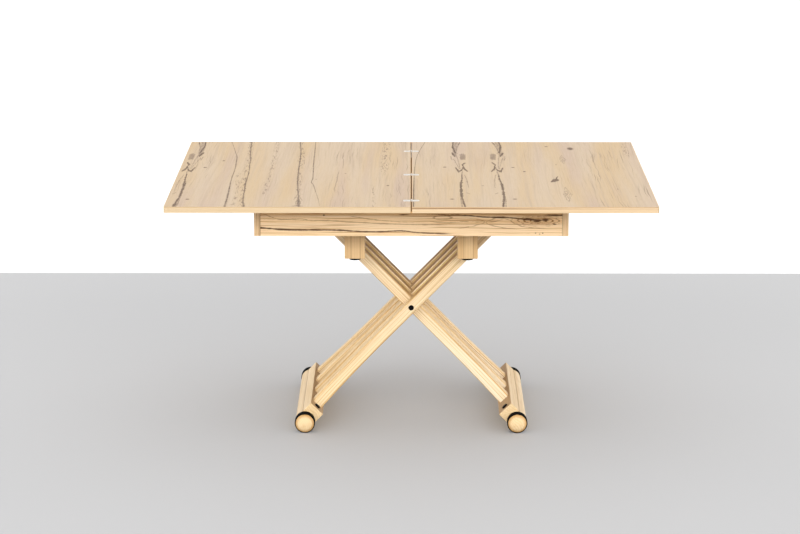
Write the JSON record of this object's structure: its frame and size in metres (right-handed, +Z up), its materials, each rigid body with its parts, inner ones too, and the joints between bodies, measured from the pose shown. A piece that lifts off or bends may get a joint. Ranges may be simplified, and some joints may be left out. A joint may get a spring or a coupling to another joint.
{
  "type": "convertible coffee dining table",
  "caption": "Extending table: a two-leaf hinged top folds over and turns on an apron box, on crossed bent-wood legs whose scissor lowers it from dining to coffee-table height.",
  "frame": {"origin": "on the floor under the middle of the opened top", "axes": "+X to the right along the opened top, -Y to the front, +Z up"},
  "size_m": [1.44, 1, 0.7625],
  "materials": {
    "top_laminate": "matte laminate, cracked-oak decor with the grain front to back",
    "edge_band": "matte edge band, pale wood colour",
    "apron_laminate": "matte laminate, cracked-oak decor with the grain lengthwise",
    "inner_wood": "plain unfinished board",
    "block_wood": "satin lacquer, vertical grain",
    "bar_wood": "satin lacquered laminated hardwood",
    "foot_wood": "satin lacquered hardwood",
    "hinge_metal": "satin nickel plated",
    "steel": "zinc plated",
    "black_plastic": "moulded, matte",
    "black_rubber": "matte",
    "nylon": "moulded, semi-matte",
    "felt": "pressed felt"
  },
  "bodies": {
    "apron": {"front_rail": "apron_laminate", "back_rail": "apron_laminate", "left_end_board": "apron_laminate", "right_end_board": "apron_laminate", "front_guide_board": "inner_wood", "back_guide_board": "inner_wood", "front_left_support_block": "block_wood", "front_right_support_block": "block_wood", "back_left_support_block": "block_wood", "back_right_support_block": "block_wood", "glide_pads": "black_plastic", "corner_blocks": "inner_wood", "apron_screws": "steel", "slide_pads": "felt", "swivel_board": "inner_wood", "swivel_bushing": "nylon"},
    "fixed_leaf": {"right_leaf_panel": "top_laminate", "right_leaf_edging": "edge_band", "hinge_plates_right": "hinge_metal", "hinge_screws_right": "hinge_metal", "hinge_pins": "hinge_metal", "swivel_plate": "steel", "swivel_plate_screws": "steel", "swivel_bolt": "steel", "swivel_nut": "steel"},
    "folding_leaf": {"left_leaf_panel": "top_laminate", "left_leaf_edging": "edge_band", "hinge_plates_left": "hinge_metal", "hinge_screws_left": "hinge_metal"},
    "right_shoes": {"right_slider_shoes": "nylon"},
    "leg_a": {"cross_bar_a1": "bar_wood", "cross_bar_a2": "bar_wood", "cross_bar_a3": "bar_wood", "cross_bar_a4": "bar_wood", "centre_axle": "steel", "centre_caps": "black_plastic", "centre_washers": "nylon", "right_top_axle": "steel", "right_axle_spacers": "nylon", "left_foot_rail": "foot_wood", "left_round_foot": "foot_wood", "left_front_tread_ring": "black_rubber", "left_back_tread_ring": "black_rubber", "left_foot_bolts": "steel", "left_foot_caps": "black_plastic", "left_bar_dowels": "foot_wood"},
    "leg_b": {"cross_bar_b1": "bar_wood", "cross_bar_b2": "bar_wood", "cross_bar_b3": "bar_wood", "left_top_axle": "steel", "left_axle_spacers": "nylon", "right_foot_rail": "foot_wood", "right_round_foot": "foot_wood", "right_front_tread_ring": "black_rubber", "right_back_tread_ring": "black_rubber", "right_foot_bolts": "steel", "right_foot_caps": "black_plastic", "right_bar_dowels": "foot_wood"},
    "left_shoes": {"left_slider_shoes": "nylon"}
  },
  "joints": [
    {"name": "top_swivel", "type": "hinge", "parent": "apron", "child": "fixed_leaf", "pos_m": [0.18, -0.18, 0.74], "axis": [0, 0, 1], "range_deg": [0, 90]},
    {"name": "leaf_fold", "type": "hinge", "parent": "fixed_leaf", "child": "folding_leaf", "pos_m": [0, 0, 0.7605], "axis": [0, 1, 0], "range_deg": [0, 180]},
    {"name": "right_shoe_slide", "type": "slide", "parent": "apron", "child": "right_shoes", "axis": [1, 0, 0], "range_m": [0, 0.12369]},
    {"name": "leg_fold", "type": "hinge", "parent": "right_shoes", "child": "leg_a", "pos_m": [0.29278, 0, 0.66403], "axis": [0, 1, 0], "range_deg": [0, 38.8]},
    {"name": "cross_pivot", "type": "hinge", "parent": "leg_a", "child": "leg_b", "pos_m": [0, 0, 0.36401], "axis": [0, 1, 0], "range_deg": [-77.7, 0]},
    {"name": "left_shoe_pivot", "type": "hinge", "parent": "leg_b", "child": "left_shoes", "pos_m": [-0.29278, 0, 0.66403], "axis": [0, 1, 0], "range_deg": [0, 38.9]}
  ],
  "couplings": [
    {"joint": "right_shoe_slide", "follows": "leg_fold", "m_per_rad": 0.18221},
    {"joint": "cross_pivot", "follows": "leg_fold", "ratio": -2},
    {"joint": "left_shoe_pivot", "follows": "leg_fold", "ratio": 1}
  ]
}
